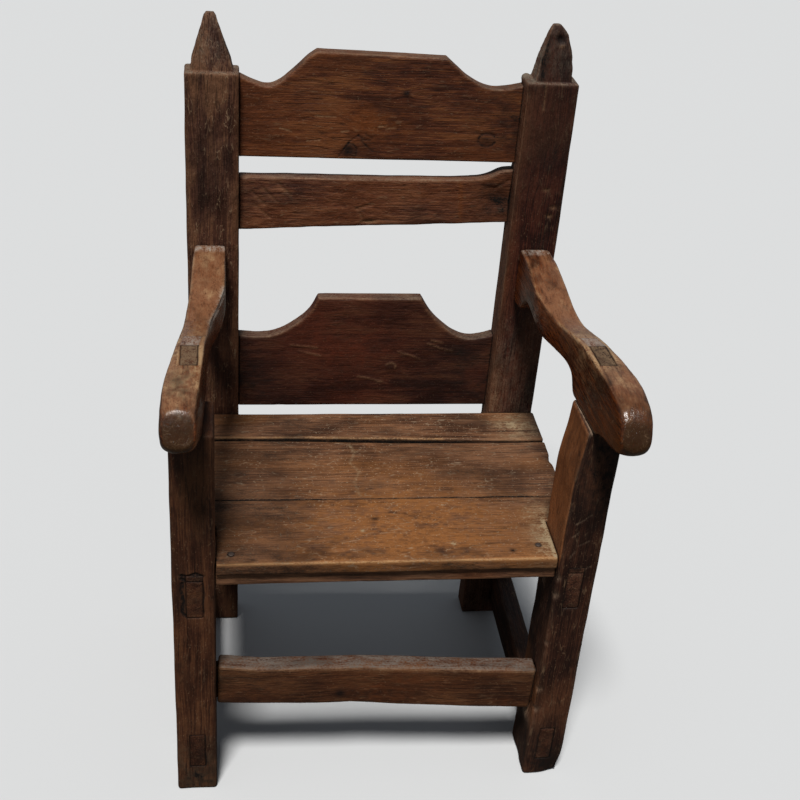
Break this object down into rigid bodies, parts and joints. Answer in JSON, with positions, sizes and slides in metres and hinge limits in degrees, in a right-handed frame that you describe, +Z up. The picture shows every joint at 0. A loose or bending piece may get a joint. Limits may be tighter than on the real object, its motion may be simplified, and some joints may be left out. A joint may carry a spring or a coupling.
{
  "type": "friars chair",
  "caption": "Joined wooden armchair with a plank seat, curved arms, scooped back boards, square posts with pointed finials and low stretchers.",
  "frame": {"origin": "on the floor under the middle of the chair's bounding box", "axes": "+Z up, +Y towards the back, +X to the right of someone facing the chair"},
  "size_m": [0.6124, 0.5298, 1.08],
  "materials": {
    "post_wood": "dark stained wood, waxed and worn",
    "leg_wood": "brown stained wood, worn",
    "back_wood": "dark red-brown stained wood, satin",
    "arm_wood": "bare worn wood, polished by hands",
    "seat_wood": "worn wood, lighter in the middle",
    "rail_wood": "pale worn wood",
    "stretcher_wood": "brown wood with a worn top edge",
    "nail_iron": "dull forged iron"
  },
  "bodies": {
    "root": {"back_post_left": "post_wood", "back_post_right": "post_wood", "front_leg_left": "leg_wood", "front_leg_right": "leg_wood", "arm_left": "arm_wood", "arm_right": "arm_wood", "crest_rail": "back_wood", "middle_back_rail": "back_wood", "lower_back_panel": "back_wood", "seat_board_rear": "seat_wood", "seat_board_middle": "seat_wood", "seat_board_front": "seat_wood", "seat_rail_front": "rail_wood", "seat_rail_back": "back_wood", "seat_rail_left": "leg_wood", "seat_rail_right": "leg_wood", "front_stretcher": "stretcher_wood", "side_stretcher_left": "leg_wood", "side_stretcher_right": "leg_wood", "tenon_wedge_left": "rail_wood", "tenon_wedge_right": "rail_wood", "seat_nail_left": "nail_iron", "seat_nail_right": "nail_iron"}
  },
  "joints": []
}
